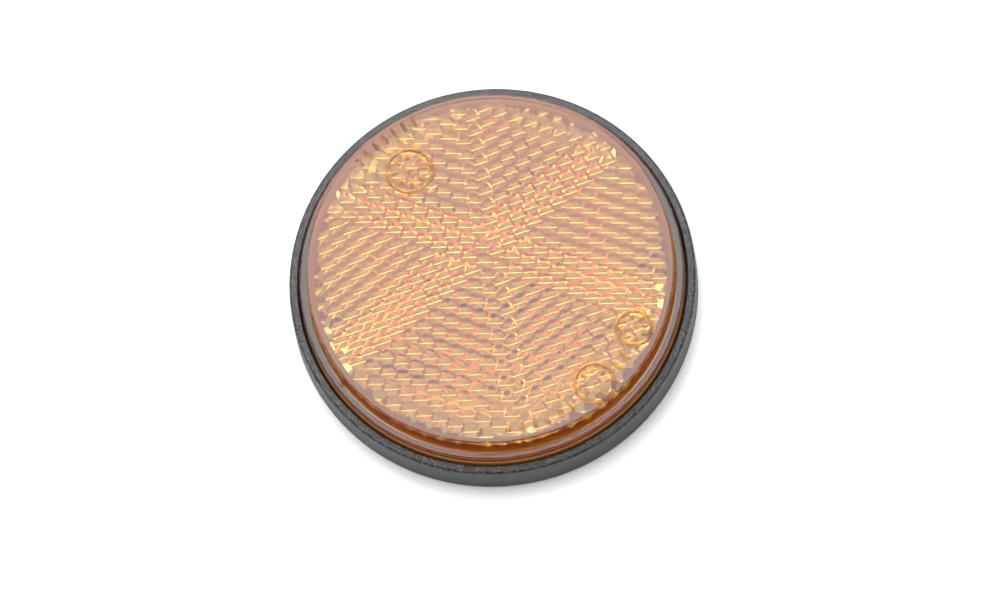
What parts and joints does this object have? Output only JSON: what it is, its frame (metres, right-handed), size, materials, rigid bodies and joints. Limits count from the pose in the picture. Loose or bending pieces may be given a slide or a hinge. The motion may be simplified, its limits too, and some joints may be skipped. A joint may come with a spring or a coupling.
{
  "type": "mudguard reflector",
  "caption": "Round stick-on bicycle reflector: an amber corner cube lens stands proud of a black tray with a foam pad on its back.",
  "frame": {"origin": "middle of the back, on the face that is stuck down", "axes": "+Z out of the lens face, +X to the right and +Y up as seen from the front"},
  "size_m": [0.06, 0.06, 0.0113],
  "materials": {
    "amber_acrylic": "clear amber acrylic, moulded with a polished face",
    "black_abs": "black moulded plastic, satin side wall and fine-grained rim",
    "white_styrene": "thin moulded disc, plain and matte",
    "white_foam": "closed-cell foam, matte",
    "liner_film": "thin waxed film, smooth"
  },
  "bodies": {
    "root": {"lens": "amber_acrylic", "housing": "black_abs", "backing_disc": "white_styrene", "adhesive_pad": "white_foam", "release_liner": "liner_film"}
  },
  "joints": []
}
